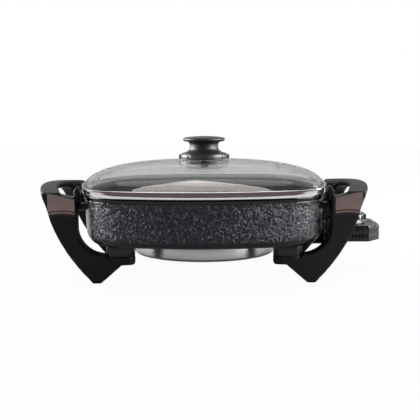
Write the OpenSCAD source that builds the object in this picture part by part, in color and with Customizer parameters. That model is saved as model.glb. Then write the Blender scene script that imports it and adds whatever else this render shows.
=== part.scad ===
// Square electric skillet with a lift-off domed glass lid, a steam ring on the knob,
// two one-piece handle and leg mouldings, and a plug-in heat control with a dial.
// Millimetres, +Z up. Every module is drawn about the middle of the pan, with the floor at
// Z = 0, and is then moved so that the middle of the whole footprint is the origin.

/* [Plan of the pan and lid] */
// Half of the lid's width, at the middle of a side
lid_half = 155; // [145:1:165]
// Radius of the gentle bow along each side
side_bow_r = 330; // [300:5:500]
// Radius of the rounded corners, at the lid's edge
corner_r = 60; // [52:1:68]

/* [Pan] */
// Height of the underside of the pan above the floor
pan_base_z = 49; // [46:0.5:52]
// Height of the pan, from its underside to its rim
pan_h = 58; // [50:1:66]
// How far the pan's side lies inside the lid's edge, just below the rim
wall_inset = 3.9; // [3.5:0.1:4.5]
// How much the side draws in from the rim to the bottom corner
wall_draft = 1.2; // [0.5:0.1:2.5]
// Thickness of the side wall
wall_t = 5; // [4:0.1:6]
// Thickness of the floor
floor_t = 5; // [4.5:0.1:7]
// Outer radius of the bottom corner
bottom_round = 12; // [8:0.5:14]
// Height of the bead round the rim
bead_h = 4.5; // [3:0.5:6]
// How far the bead stands out of the side
bead_out = 0.9; // [0.4:0.1:1.4]

/* [Heating plate] */
// Diameter of the plate under the pan
plate_d = 184; // [176:1:188]
// Depth of the plate below the pan
plate_h = 24; // [22:0.5:28]
// Radius of the ring that the element makes
element_ring_r = 68; // [62:1:74]
// Diameter of the sheathed element
element_d = 8; // [7:0.1:8.5]
// Clearance round the element in its channel
element_gap = 0.1; // [0.05:0.01:0.15]

/* [Terminals and guard] */
// Where the terminals lie along the right side, from its middle
terminal_y = 10; // [4:1:14]
// How far the terminals and probe lie below the pan
terminal_drop = 4.8; // [4.7:0.1:5]
// Distance from the probe to each terminal pin
pin_pitch = 17; // [15:0.5:19]
// Diameter of a terminal pin
pin_d = 4.8; // [4:0.1:5]
// How far the pins' tips lie inside the lid's edge
pin_tip_in = 6; // [5:1:9]
// Length of a ceramic bead on the element's end
bead_len = 12; // [9:1:14]
// Thickness of the guard's sheet
guard_t = 1.6; // [1.2:0.1:2]
// How far the guard's inner end lies inside the lid's edge
guard_in = 42; // [40:1:45]
// Height of the guard's mouth plate
mouth_h = 27; // [25:1:28]

/* [Handle and leg mouldings] */
// Distance of the legs' middle planes from the middle of the pan
leg_y = 81; // [79:1:83]
// Thickness of a leg
leg_t = 22; // [18:0.5:24]
// How far the inner edge of a leg lies inside the lid's edge
leg_inset = 3; // [1:0.5:4]
// Radius of the arch between a leg and the pan
arch_r = 33; // [30:1:34]
// How far the inner end of a foot's flat lies inside the lid's edge
foot_in = 31.5; // [29:0.5:37]
// Length of the foot's flat
foot_len = 9.7; // [8:0.1:12]
// How far the outer edge of a leg is drawn out between its foot and its knee
leg_bow = 9.4; // [6:0.2:12]
// How far a leg's shoulder reaches outside the lid's edge
shoulder_out = 37.4; // [36:0.2:41]
// Height of the top of the shoulder
shoulder_z = 110; // [109:0.1:111]
// Height of the top of the grip, in its middle
grip_top_z = 115.2; // [114:0.1:118]
// Width of the grip
grip_w = 22; // [18:0.5:24]
// Thickness of the grip, in its middle
grip_h = 9.3; // [8:0.1:11]
// How far the middle of the grip bows outwards
grip_bow = 15; // [10:0.5:17]
// How far the arch under the grip falls from its middle to the legs
arch_fall = 25; // [18:0.5:27]
// How far the outer end of a leg's inner pad lies inside the lid's edge
pad_end_in = 38; // [37:0.5:40]
// Length of a leg's inner pad
pad_len = 33.4; // [30:0.2:35]
// Width of a leg's inner pad
pad_w = 25; // [23:0.5:26]
// Underside of a leg's inner pad
pad_z = 22; // [20:0.5:24]
// Height of the spacer on each pad
spacer_h = 16.7; // [14:0.1:18]

/* [Fasteners] */
// Diameter of the leg screws
leg_screw_d = 5; // [4:0.1:6]
// Diameter of the handle screws
handle_screw_d = 4; // [3:0.1:5]
// Radial clearance of a screw in its hole
screw_gap = 0.15; // [0.05:0.01:0.25]

/* [Lid] */
// Height of the steel band
band_h = 8.3; // [7:0.1:10]
// Thickness of the steel band
band_t = 2.6; // [2:0.1:3]
// Thickness of the glass
glass_t = 4; // [3.5:0.1:5]
// Height of the flat edge of the glass
glass_edge_h = 3.2; // [2.5:0.1:4]
// Rise of the dome above its edge
dome_rise = 29.5; // [26:0.5:36]
// How square the dome's profile is, from 2 for an ellipse
dome_power = 2.2; // [2:0.1:3]
// Clearance between the glass and the band, and between the lid and the pan's inside
lid_gap = 0.3; // [0.2:0.05:0.5]
// Distance of the steam eyelet from the middle of the lid
eyelet_x = 96; // [88:1:104]
// Outer diameter of the steam eyelet
eyelet_d = 8; // [7:0.5:10]

/* [Knob] */
// Diameter of the knob's cap
cap_d = 55; // [48:1:60]
// Diameter of the knob's neck
neck_d = 37; // [32:1:40]
// Diameter of the knob's skirt
skirt_d = 59; // [56:1:61]
// Height of the knob above the steam ring
knob_h = 23.5; // [20:0.5:28]
// Diameter of the collar that the steam ring turns on
collar_d = 55; // [53:0.5:56]
// Outer diameter of the steam ring
ring_d = 61.2; // [60:0.1:64]
// Height of the steam ring
ring_h = 5.4; // [5:0.1:7]
// Reach of a thumb tab from the middle of the knob
tab_reach = 32.5; // [32.3:0.1:34]
// Diameter of the knob's screw
knob_screw_d = 5; // [4:0.1:6]
// Running clearance of the steam ring
ring_gap = 0.3; // [0.25:0.01:0.4]

/* [Heat control] */
// Height of the control's underside above the floor
case_z = 39.5; // [39.5:0.1:39.9]
// Height of the lower half of the case
lower_h = 9; // [8.7:0.1:10]
// Height of the upper half of the case
upper_h = 11; // [10:0.5:13]
// How far the case lies outside the lid's edge
case_gap = 5; // [4:0.5:7]
// Length of the case
case_len = 66; // [60:1:70]
// Width of the case
case_w = 84; // [80:1:88]
// Wall of the case
case_t = 2; // [1.6:0.1:2.4]
// Length of the nose that reaches under the pan
nose_len = 27; // [24:0.5:29]
// Diameter of the probe
probe_d = 6.4; // [5:0.1:7]
// How far the probe reaches from the nose
probe_reach = 76; // [70:1:80]
// Diameter of the dial
dial_d = 52; // [46:1:56]
// Height of the dial
dial_h = 8; // [6:0.5:10]
// Distance of the dial's axis from the case's inner end
dial_in = 28; // [26:1:30]
// Diameter of the cord that the inlet takes
cord_d = 7; // [6:0.1:7.4]

/* [Hidden] */
$fn = 64;
side_steps = 6;
corner_steps = 8;

// The plan: four side arcs and four corner arcs that meet tangentially. An inset keeps the centres.
side_c = lid_half - side_bow_r;
corner_c = (side_c + sqrt(2 * pow(side_bow_r - corner_r, 2) - side_c * side_c)) / 2;
side_turn = atan2(corner_c, corner_c - side_c);
pan_top_z = pan_base_z + pan_h;
floor_z = pan_base_z + floor_t;
bead_inset = wall_inset - bead_out;
foot_inset = wall_inset + wall_draft;
inner_round = bottom_round;

leg_inner_x = lid_half - leg_inset;
foot_x = lid_half - foot_in;
shoulder_x = lid_half + shoulder_out;
heel_x = foot_x + foot_len + 3.2;
heel_z = 3.4;
knee_x = shoulder_x - 10;
pad_end_x = lid_half - pad_end_in;
guard_x = lid_half - guard_in;
pin_tip_x = lid_half - pin_tip_in;
case_x = lid_half + case_gap;
dial_x = case_x + dial_in;
terminal_z = pan_base_z - terminal_drop;
plate_z = pan_base_z - plate_h;
probe_bore_gap = 0.3;
element_end_x = plate_d / 2 + 3;
guard_flange = 8;
guard_half = case_w / 2 - guard_flange;
guard_in_h = 11.6;
guard_z = pan_base_z - guard_in_h - guard_t;
mouth_x = lid_half - 2.5;
mouth_gap = 0.8;
nose_half = pin_pitch + 9;
nose_z = terminal_z - 4.2;
nose_h = 8.5;
nose_x = case_x - nose_len;

arch_x = leg_inner_x - arch_r;
arch_z = pad_z + 10.3 + 1.7 + arch_r;
pad_top_z = pan_base_z - spacer_h;
pad_x = pad_end_x - pad_len;
pad_y = leg_y + leg_t / 2 - pad_w / 2;
pad_r = 8;
screw_x = pad_x + 15;
washer_t = 1;
washer_z = pad_z + 2.5;
ear_z = pan_top_z - 21;
ear_h = 8;
ear_y = leg_y - leg_t / 2 - 9;
ear_w = 16;
ear_x = leg_inner_x + 6;
ear_root_x = lid_half - wall_inset - wall_t - 3.2;
grip_end_x = shoulder_x + 0.6;
arch_half = leg_y - leg_t / 2 - 4;
left_reach = grip_end_x + grip_bow;
right_reach = case_x + case_len;
middle_shift = (left_reach - right_reach) / 2;

band_z = pan_top_z;
glass_inset = band_t + lid_gap;
glass_z = band_z + 3;
dome_z = glass_z + glass_edge_h;
apex_z = dome_z + dome_rise;
inner_apex_z = apex_z - glass_t;
seal_t = 0.8;
collar_z = apex_z + seal_t;
ring_z = collar_z + 0.8;
skirt_z = ring_z + ring_h + 0.1;
knob_top_z = skirt_z + knob_h;
lower_seal_t = 1.2;
lower_seal_z = inner_apex_z - lower_seal_t;
clamp_t = 1;
knob_hole_r = knob_screw_d / 2 + 1;
steam_hole_d = 2.6;

seam_z = case_z + lower_h;
case_top_z = seam_z + upper_h;
dial_z = case_top_z + 4.3;
case_y0 = terminal_y - case_w / 2;
case_y1 = case_y0 + case_w;
dial_y = terminal_y + 4;
frame_z = case_z + case_t + 4;
frame_t = 1.2;
frame_screw_len = 4.5;
frame_posts = [case_x + 12, case_x + 46];
blade_y = terminal_y + 8;
blade_w = 7.6;
blade_t = 0.7;
spring_t = 0.6;
blade_z = frame_z + 3.05;
spring_z = frame_z + 5.45;
tail_x = frame_posts[0] - 1;
clip_x = case_x + case_t + 0.5;
clip_t = 4;
sleeve_d = pin_d + 1.6;
sleeve_x = nose_x + 0.5;
sleeve_len = nose_len + 4;
shaft_d = 6;
bushing_d = 12;
lamp_x = case_x + case_len - 7;
gland_x = case_x + 38;
case_posts = [for (x = [case_x + 8, case_x + case_len - 19]) for (y = [case_y0 + 9, case_y1 - 9]) [x, y]];

// One outline of the plan, drawn in from the lid's edge, with points from the middle of the right side on.
function turned(p, q) = [p[0] * cos(q) - p[1] * sin(q), p[0] * sin(q) + p[1] * cos(q)];
function quarter(inset) = concat(
    [for (i = [0:side_steps - 1]) let (t = side_turn * (2 * i / side_steps - 1))
        [side_c + (side_bow_r - inset) * cos(t), (side_bow_r - inset) * sin(t)]],
    [for (i = [0:corner_steps - 1]) let (t = side_turn + (90 - 2 * side_turn) * i / corner_steps)
        [corner_c + (corner_r - inset) * cos(t), corner_c + (corner_r - inset) * sin(t)]]);
function outline(inset) = [for (q = [0:3]) for (p = quarter(inset)) turned(p, 90 * q)];
function lifted(points, z) = [for (p = points) [p[0], p[1], z]];
function ring_at(pair) = lifted(outline(pair[0]), pair[1]);

// A round stretch of a profile: [inset, height] pairs about a centre.
function bend(inset, z, r, from, to, steps) =
    [for (i = [0:steps]) let (t = from + (to - from) * i / steps) [inset + r * cos(t), z + r * sin(t)]];
// A curved stretch of an outline, from a to c, drawn towards b.
function curve(a, b, c, steps) =
    [for (i = [0:steps]) let (t = i / steps) (1 - t) * (1 - t) * a + 2 * t * (1 - t) * b + t * t * c];

// Skin between two neighbouring rings of n points.
function skin(n, low, high) = [for (j = [0:n - 1]) let (k = (j + 1) % n)
    each [[low * n + j, high * n + j, high * n + k], [low * n + j, high * n + k, low * n + k]]];

// A solid through rings from first to last, closed by flat faces at both ends.
module capped_loft(rings) {
    n = len(rings[0]);
    m = len(rings);
    polyhedron(points = [for (r = rings) each r],
        faces = concat([[for (j = [0:n - 1]) j]],
            [for (i = [0:m - 2]) each skin(n, i, i + 1)],
            [[for (j = [n - 1:-1:0]) (m - 1) * n + j]]));
}

// A solid through rings that come back to the first.
module closed_loft(rings) {
    n = len(rings[0]);
    m = len(rings);
    polyhedron(points = [for (r = rings) each r],
        faces = [for (i = [0:m - 1]) each skin(n, i, (i + 1) % m)]);
}

module along_x(x, y, z) translate([x, y, z]) rotate([0, 90, 0]) children();
module both_sides() for (x = [0, 1]) mirror([x, 0, 0]) children();
module both_ends(y) for (s = [-1, 1]) translate([0, s * y, 0]) children();
module four_legs() both_sides() both_ends(pad_y) translate([screw_x, 0, 0]) children();
module four_ears() both_sides() both_ends(ear_y) translate([ear_x, 0, 0]) children();

// A plate of one outline in X and Z, centred on a plane of constant Y.
module upright_plate(points, y, thick) {
    translate([0, y + thick / 2, 0]) rotate([90, 0, 0]) linear_extrude(thick) polygon(points);
}

// A block with rounded upright edges.
module soft_block(size, r) {
    linear_extrude(size[2]) {
        translate([r, 0]) square([size[0] - 2 * r, size[1]]);
        translate([0, r]) square([size[0], size[1] - 2 * r]);
        for (x = [r, size[0] - r]) for (y = [r, size[1] - r]) translate([x, y]) circle(r);
    }
}

// ---------------------------------------------------------------- pan and heating plate

module pan_shell() {
    outer = concat(
        bend(foot_inset + bottom_round, pan_base_z + bottom_round, bottom_round, 270, 180, 4),
        [[wall_inset, pan_top_z - bead_h - 1], [bead_inset, pan_top_z - bead_h],
            [bead_inset, pan_top_z - 0.8], [bead_inset + 0.8, pan_top_z]]);
    inner = concat(
        [[wall_inset + wall_t - 0.8, pan_top_z], [wall_inset + wall_t, pan_top_z - 0.8]],
        bend(foot_inset + wall_t + inner_round, floor_z + inner_round, inner_round, 180, 270, 4));
    capped_loft([for (p = concat(outer, inner)) ring_at(p)]);
}

module pan_body() {
    color("#1d1d22") difference() {
        union() {
            pan_shell();
            both_sides() both_ends(ear_y) ear();
        }
        four_ears() translate([0, 0, ear_z - 1]) cylinder(d = handle_screw_d + 2 * screw_gap, h = ear_h + 2);
        four_legs() translate([0, 0, pan_base_z - 1]) cylinder(d = leg_screw_d, h = 4.2);
        guard_holes() cylinder(d = 3, h = 3.5);
    }
}

// A cast tab from the pan's side to the handle's screw.
module ear() {
    translate([ear_root_x, -ear_w / 2, ear_z]) cube([ear_x + 7 - ear_root_x, ear_w, ear_h]);
}

module guard_holes() {
    translate([guard_x + 6, terminal_y, pan_base_z]) both_ends(guard_half + 5) children();
}

module heating_plate() {
    color("silver") difference() {
        translate([0, 0, plate_z]) rotate_extrude() polygon(concat(
            [[0, 6], [plate_d / 2 - 26, 6], [plate_d / 2 - 20, 0], [plate_d / 2 - 3, 0]],
            [[plate_d / 2, 3], [plate_d / 2, plate_h], [0, plate_h]]));
        element_path(element_d / 2 + element_gap);
        along_x(40, terminal_y, terminal_z) cylinder(d = probe_d + 2 * probe_bore_gap, h = plate_d);
    }
}

// The sheathed element: most of a circle, then two straight ends to the terminals.
module element_path(r) {
    open = asin(pin_pitch / element_ring_r);
    start = element_ring_r * cos(open);
    translate([0, terminal_y, terminal_z]) {
        rotate([0, 0, open]) rotate_extrude(angle = 360 - 2 * open) translate([element_ring_r, 0]) circle(r);
        both_ends(pin_pitch) along_x(start - r * sin(open), 0, 0)
            cylinder(r = r, h = element_end_x - start + r * sin(open));
    }
}

module at_terminals() translate([0, terminal_y, terminal_z]) both_ends(pin_pitch) children();
module heating_element() color("dimgray") element_path(element_d / 2);

module element_beads() {
    color("ivory") at_terminals() along_x(element_end_x, 0, 0)
        difference() {
            cylinder(d = element_d - 0.6, h = bead_len);
            translate([0, 0, -1]) cylinder(d = pin_d + 0.2, h = bead_len + 2);
        }
}

module terminal_pins() {
    color("gainsboro") at_terminals() along_x(element_end_x, 0, 0)
        cylinder(d = pin_d, h = pin_tip_x - element_end_x);
}

module terminal_guard() {
    len_x = mouth_x - guard_x;
    color("#232326") translate([guard_x, terminal_y, 0]) difference() {
        union() {
            translate([0, -guard_half, guard_z]) cube([len_x + guard_t, 2 * guard_half, guard_t]);
            for (s = [-1, 1]) translate([0, s * (guard_half - guard_t / 2) - guard_t / 2, guard_z])
                cube([22, guard_t, pan_base_z - guard_z]);
            for (s = [-1, 1]) translate([0, s * (guard_half + 4.5) - 5, pan_base_z - guard_t])
                cube([12, 10, guard_t]);
            translate([len_x, -guard_half, guard_z]) cube([guard_t, 2 * guard_half, mouth_h]);
        }
        translate([len_x - 1, -nose_half - mouth_gap, nose_z - mouth_gap])
            cube([guard_t + 2, 2 * (nose_half + mouth_gap), nose_h + 2 * mouth_gap]);
        for (s = [-1, 1]) translate([6, s * (guard_half + 5), pan_base_z - 5]) cylinder(d = 3.3, h = 8);
    }
}

module guard_screws() {
    color("silver") guard_holes() translate([0, 0, -guard_t]) {
        translate([0, 0, -1.8]) cylinder(d = 6, h = 1.8);
        cylinder(d = 2.8, h = guard_t + 3);
    }
}

// ---------------------------------------------------------------- handles and legs

// Outline of a leg in X and Z, drawn for the right side.
function leg_outline() = concat(
    [[foot_x, 0], [foot_x + foot_len, 0]],
    curve([heel_x, heel_z], [(heel_x + knee_x) / 2 + leg_bow, 36.8], [knee_x, 75], 8),
    curve([knee_x + 0.8, 77.5], [shoulder_x - 6.2, 91], [shoulder_x - 1, 103], 8),
    curve([shoulder_x - 0.8, 104], [shoulder_x + 0.6, shoulder_z], [shoulder_x - 6, shoulder_z - 0.6], 8),
    [[shoulder_x - 14, shoulder_z - 2], [leg_inner_x, shoulder_z - 7.8]],
    [for (t = [0:-5:-90]) [arch_x + arch_r * cos(t), arch_z + arch_r * sin(t)]],
    [[pad_end_x - 4, pad_top_z - 4], [pad_end_x - 14, pad_z + 3], [pad_end_x - 20, pad_z + 1]]);

// Outline of the fin that stands up beside the lid's band, on a leg's inner edge.
fin_z = shoulder_z - 12;
function fin_outline() = [[leg_inner_x - 4, fin_z], [leg_inner_x + 4, fin_z], [leg_inner_x + 3, shoulder_z],
    [leg_inner_x - 1, shoulder_z + 6], [leg_inner_x - 3.6, shoulder_z + 5.4]];

// A polygon with each corner rounded off over a length r.
function unit(v) = v / norm(v);
function rounded(c, r, steps) = [for (k = [0:len(c) - 1])
    let (p = c[k], a = c[(k + len(c) - 1) % len(c)], b = c[(k + 1) % len(c)])
    each curve(p + r * unit(a - p), p, p + r * unit(b - p), steps)];

// The grip's section at y. It bows outwards and arches up from the legs to its middle.
function grip_section(y) = let (
        a = min(1, pow(y / arch_half, 2)),
        end = pow(y / (leg_y + leg_t / 2), 2),
        top = grip_top_z - (grip_top_z - shoulder_z) * end,
        low = grip_top_z - grip_h - arch_fall * pow(a, 3),
        out = grip_end_x + grip_bow * (1 - end))
    rounded([[out - 1 - 10 * a, low], [out + 1 - grip_w - 8 * a, low],
        [out - grip_w - 2.5 * a, top - 0.5], [out, top - 0.5]], grip_h * 0.42, 5);

module grip() {
    reach = leg_y + leg_t / 2 - 1;
    stations = 16;
    capped_loft([for (i = [-stations:stations]) let (y = reach * i / stations)
        [for (p = grip_section(y)) [p[0], y, p[1]]]]);
}

// Both legs, the grip, the pads over the pan's ears and the pads under the spacers, for the right side.
module handle_moulding() {
    difference() {
        union() {
            for (s = [-1, 1]) {
                upright_plate(leg_outline(), s * leg_y, leg_t);
                translate([pad_x, s * pad_y - pad_w / 2, pad_z])
                    soft_block([pad_len, pad_w, pad_top_z - pad_z], pad_r);
                translate([leg_inner_x - 1, s * ear_y - ear_w / 2 - (1 - s) * 2, ear_z + ear_h])
                    cube([20, ear_w + 4, 8.5]);
                upright_plate(fin_outline(), s * leg_y, leg_t - 8);
            }
            grip();
        }
        for (s = [-1, 1]) {
            translate([screw_x, s * pad_y, 0]) cylinder(d = leg_screw_d + 2 * screw_gap, h = pad_top_z + 1);
            translate([screw_x, s * pad_y, 0]) cylinder(d = 12, h = washer_z + washer_t);
            translate([ear_x, s * ear_y, ear_z]) cylinder(d = handle_screw_d, h = ear_h + 6);
        }
    }
}

module right_handle() color("#141416") handle_moulding();
module left_handle() color("#141416") mirror([1, 0, 0]) handle_moulding();

module leg_spacers() {
    color("#18181a") both_sides() both_ends(pad_y) difference() {
        translate([pad_x, -pad_w / 2, pad_top_z]) soft_block([pad_len, pad_w, spacer_h], pad_r);
        translate([screw_x, 0, pad_top_z - 1]) cylinder(d = leg_screw_d + 2 * screw_gap, h = spacer_h + 2);
    }
}

module leg_washers() {
    color("silver") four_legs() translate([0, 0, washer_z]) difference() {
        cylinder(d = 11, h = washer_t);
        translate([0, 0, -1]) cylinder(d = leg_screw_d + 2 * screw_gap, h = 3);
    }
}

module leg_screws() {
    color("silver") four_legs() translate([0, 0, washer_z]) {
        translate([0, 0, -3]) difference() {
            cylinder(d = 9, h = 3);
            translate([0, 0, -1]) cylinder(d = 3.4, h = 2.4, $fn = 6);
        }
        cylinder(d = leg_screw_d - 0.1, h = pan_base_z + 3 - washer_z);
    }
}

module handle_screws() {
    color("silver") four_ears() translate([0, 0, ear_z]) {
        translate([0, 0, -2.6]) difference() {
            cylinder(d = 7.6, h = 2.6);
            translate([0, 0, -1]) cylinder(d = 3, h = 2.2, $fn = 6);
        }
        cylinder(d = handle_screw_d - 0.1, h = ear_h + 5);
    }
}

// ---------------------------------------------------------------- lid

// One ring of the dome: s runs from 1 at the edge to 0 at the crown, and the plan turns round on the way.
function dome_ring(s, inset, rise, base) = let (edge = outline(inset), r = lid_half - inset)
    [for (p = edge) let (round_p = p * r / norm(p), blend = s * s)
        [s * (blend * p[0] + (1 - blend) * round_p[0]), s * (blend * p[1] + (1 - blend) * round_p[1]),
            base + rise * sqrt(1 - pow(s, dome_power))]];

module glass_lid() {
    steps = 9;
    slopes = [for (i = [0:steps]) sin(90 - 88.6 * i / steps)];
    inner = glass_inset + glass_t;
    color("gray", 0.4) difference() {
        closed_loft(concat([ring_at([glass_inset, glass_z])],
            [for (s = slopes) dome_ring(s, glass_inset, dome_rise, dome_z)],
            [for (i = [steps:-1:0]) dome_ring(slopes[i], inner, dome_rise - glass_t, dome_z)],
            [ring_at([inner, glass_z])]));
        translate([0, 0, apex_z - 10]) cylinder(r = knob_hole_r, h = 20);
        translate([eyelet_x, 0, dome_z]) cylinder(d = eyelet_d - 2, h = dome_rise + 10);
        glass_steam_holes(4);
    }
}

module glass_steam_holes(d) {
    for (a = [45:90:315]) rotate(a) translate([19, 0, apex_z - 10]) cylinder(d = d, h = 20);
}

// The band holds the glass by its edge, stands on the pan's rim, and reaches down inside it.
module lid_band() {
    seat = wall_inset + wall_t + lid_gap;
    lip = seat + 1.2;
    lip_z = band_z - 3;
    shelf_z = glass_z - lid_gap;
    top_z = band_z + band_h;
    profile = [[0.7, band_z], [0, band_z + 1.2], [0, top_z - 1.4], [0.8, top_z], [band_t, top_z],
        [band_t, shelf_z], [lip, shelf_z], [lip, lip_z], [seat, lip_z], [seat, band_z]];
    color("gainsboro") closed_loft([for (p = profile) ring_at(p)]);
}

// Height of the outer face of the dome on the X axis.
function dome_height(x) = dome_z + dome_rise * sqrt(1 - pow(x / (lid_half - glass_inset), dome_power));

module steam_eyelet() {
    top = dome_height(eyelet_x - eyelet_d / 2);
    low = dome_height(eyelet_x + eyelet_d / 2) - glass_t - 1.6;
    color("silver") translate([eyelet_x, 0, 0]) difference() {
        union() {
            translate([0, 0, low]) cylinder(d = eyelet_d - 2.2, h = top - low + 1);
            translate([0, 0, top + 0.1]) cylinder(d = eyelet_d, h = 0.9);
            translate([0, 0, low]) cylinder(d = eyelet_d, h = 0.8);
        }
        translate([0, 0, low - 1]) cylinder(d = eyelet_d - 4.4, h = top - low + 4);
    }
}

module washer(d, hole, z, t) {
    translate([0, 0, z]) difference() {
        cylinder(d = d, h = t);
        translate([0, 0, -1]) cylinder(d = hole, h = t + 2);
    }
}

module knob_seal() color("dimgray") washer(26, knob_screw_d + 0.6, apex_z, seal_t);
// The seal's upper face falls off a little towards its rim, as the dome does.
module lower_seal() {
    bore = knob_screw_d / 2 + 0.3;
    color("whitesmoke") difference() {
        translate([0, 0, lower_seal_z]) rotate_extrude()
            polygon([[bore, 0], [25, 0], [25, lower_seal_t - 0.4], [bore, lower_seal_t]]);
        glass_steam_holes(5);
    }
}
module clamp_washer() color("silver") washer(20, knob_screw_d + 0.4, lower_seal_z - clamp_t, clamp_t);

module knob_screw() {
    head_h = 3.2;
    start = lower_seal_z - clamp_t;
    color("silver") {
        translate([0, 0, start - head_h]) difference() {
            cylinder(d = 9.5, h = head_h);
            translate([0, 0, -1]) cylinder(d = 3.6, h = 2.6, $fn = 6);
        }
        translate([0, 0, start]) cylinder(d = knob_screw_d, h = skirt_z + 10 - start);
    }
}

// Steam comes up through the glass into the collar and out through its four side holes.
module knob_collar() {
    bore = knob_screw_d / 2 + 0.2;
    wall = collar_d / 2;
    top = skirt_z - collar_z;
    color("#202022") difference() {
        translate([0, 0, collar_z]) rotate_extrude() polygon([[bore, 0], [9, 0], [9, 3], [wall - 3, 3],
            [wall - 3, 0], [wall + 2.4, 0], [wall + 2.4, 0.8], [wall, 0.8], [wall, top], [bore, top]]);
        steam_holes(collar_d / 2 - 6);
    }
}

module steam_holes(r) {
    for (a = [50:90:320]) rotate(a) along_x(r, 0, ring_z + ring_h / 2 - 1.2)
        cylinder(d = steam_hole_d, h = 12);
}

// The ring that opens and closes the steam holes, with ribbed thumb tabs.
module steam_ring() {
    root = ring_d / 2 - 1.2;
    color("#3c3d40") difference() {
        union() {
            washer(ring_d, collar_d + 2 * ring_gap, ring_z, ring_h);
            for (a = [0:90:270]) rotate(a) for (i = [-2:2]) translate([root, i * 2.2 - 0.7, ring_z])
                cube([tab_reach - root - abs(i) * 0.12, 1.4, ring_h]);
        }
        steam_holes(collar_d / 2 - 2);
    }
}

module knob_insert() color("goldenrod") washer(9, knob_screw_d + 0.1, skirt_z, 12);

module lid_knob() {
    neck = neck_d / 2;
    cap = cap_d / 2;
    cap_z = knob_h - 7;
    color("#28282a") translate([0, 0, skirt_z]) difference() {
        rotate_extrude() polygon(concat(
            [[0, 0], [skirt_d / 2, 0], [skirt_d / 2, 1.2]],
            curve([skirt_d / 2 - 1, 1.8], [neck + 1.5, 3.6], [neck, 8], 6),
            curve([neck, cap_z - 4], [neck + 0.4, cap_z - 0.6], [cap - 5, cap_z], 5),
            curve([cap - 1.5, cap_z + 0.4], [cap + 1, cap_z + 2.6], [cap - 1.8, cap_z + 4.8], 4),
            curve([cap - 3, cap_z + 5.3], [cap / 2, knob_h], [0, knob_h], 5)));
        translate([0, 0, -1]) cylinder(d = 9.1, h = 13.2);
    }
}

// ---------------------------------------------------------------- heat control

// Plan of the case, drawn in by an inset: square inner end, and cut-off outer corners.
function case_plan(inset) = let (x0 = case_x + inset, x1 = case_x + case_len - inset,
        y0 = case_y0 + inset, y1 = case_y1 - inset, cut = inset * 0.414)
    [[x0 + 5 - cut, y0], [x1 - 17 + cut, y0], [x1, y0 + 20 - cut], [x1, y1 - 14 + cut], [x1 - 12 + cut, y1],
        [x0 + 5 - cut, y1], [x0, y1 - 5 + cut], [x0, y0 + 5 - cut]];

module case_body(inset, z, h) translate([0, 0, z]) linear_extrude(h) polygon(case_plan(inset));

module screw_posts(z, h, d) {
    for (p = case_posts) translate([p[0], p[1], z]) cylinder(d = d, h = h);
}

// Seven upright ribs on the front side, and four on the rear side, clear of the cord's inlet.
module grip_ribs(z, h) {
    rib = [1.8, 2, h];
    stand_out = 0.9;
    for (i = [0:6]) translate([case_x + 16 + 4.2 * i, case_y0 - stand_out, z]) cube(rib);
    for (i = [0:3]) translate([case_x + 16 + 4.2 * i, case_y1 + stand_out - rib[1], z]) cube(rib);
}

module nose_tunnels() {
    translate([0, terminal_y, terminal_z]) {
        both_ends(pin_pitch) along_x(nose_x - 1, 0, 0) cylinder(d = sleeve_d + 0.2, h = nose_len + 8);
        along_x(nose_x - 1, 0, 0) cylinder(d = probe_d + 0.2, h = nose_len + 8);
    }
}

module lower_case() {
    color("#161618") difference() {
        union() {
            difference() {
                case_body(0, case_z, lower_h);
                case_body(case_t, case_z + case_t, lower_h);
            }
            grip_ribs(case_z + 1, lower_h - 1);
            screw_posts(case_z + 0.5, lower_h - 0.5, 7);
            translate([nose_x, terminal_y - nose_half, nose_z]) cube([nose_len + 1, 2 * nose_half, nose_h]);
            for (x = frame_posts) translate([x, blade_y, case_z + 1])
                cylinder(d = 6, h = frame_z - case_z - 1);
        }
        nose_tunnels();
        screw_posts(case_z - 1, lower_h + 2, 3.2);
        screw_posts(case_z - 1, 3, 6);
        frame_screw_places() translate([0, 0, -frame_screw_len - 0.2]) cylinder(d = 2.5, h = frame_screw_len);
        gland_hole();
    }
}

module frame_screw_places() for (x = frame_posts) translate([x, blade_y, frame_z + frame_t]) children();

module upper_case() {
    color("#161618") difference() {
        union() {
            difference() {
                union() {
                    case_body(0, seam_z, upper_h - 2);
                    case_body(1.2, seam_z + upper_h - 2, 2);
                }
                case_body(case_t, seam_z - 1, upper_h - case_t + 1);
            }
            grip_ribs(seam_z, upper_h - 3);
            screw_posts(seam_z, upper_h - 1, 7);
            at_dial() translate([0, 0, case_top_z - 1]) cylinder(d = dial_d - 5, h = 5);
        }
        screw_posts(seam_z - 1, 8, 2.6);
        at_dial() translate([0, 0, case_top_z - 5]) cylinder(d = bushing_d + 0.2, h = 12);
        translate([lamp_x, dial_y, case_top_z - 4]) cylinder(d = 6.2, h = 8);
        gland_hole();
    }
}

module at_gland() translate([gland_x, case_y1, seam_z + 0.5]) rotate([-90, 0, 0]) children();
module gland_hole() at_gland() translate([0, 0, -6]) cylinder(d = 10, h = 12);

// The cord's inlet: a soft bushing in the rear wall of the case, with a flange on each side of the wall.
module cord_gland() {
    bore = cord_d / 2 + 0.1;
    inner_z = -case_t - 0.1;
    color("#1a1a1a") at_gland() rotate_extrude() polygon([[bore, inner_z - 2], [6, inner_z - 2], [6, inner_z],
        [4.9, inner_z], [4.9, 0.1], [6.5, 0.1], [5.5, 8], [bore, 8]]);
}

module sensor_probe() {
    tip = probe_d / 2;
    color("silver") along_x(nose_x - probe_reach, terminal_y, terminal_z) {
        cylinder(d1 = probe_d - 3, d2 = probe_d, h = tip);
        translate([0, 0, tip]) cylinder(d = probe_d, h = probe_reach + nose_len + 6 - tip);
    }
}

module contact_sleeves() {
    color("gold") at_terminals() along_x(sleeve_x, 0, 0) difference() {
        cylinder(d = sleeve_d, h = sleeve_len);
        translate([0, 0, -1]) cylinder(d = pin_d + 0.1, h = nose_len - 4);
    }
}

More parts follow.
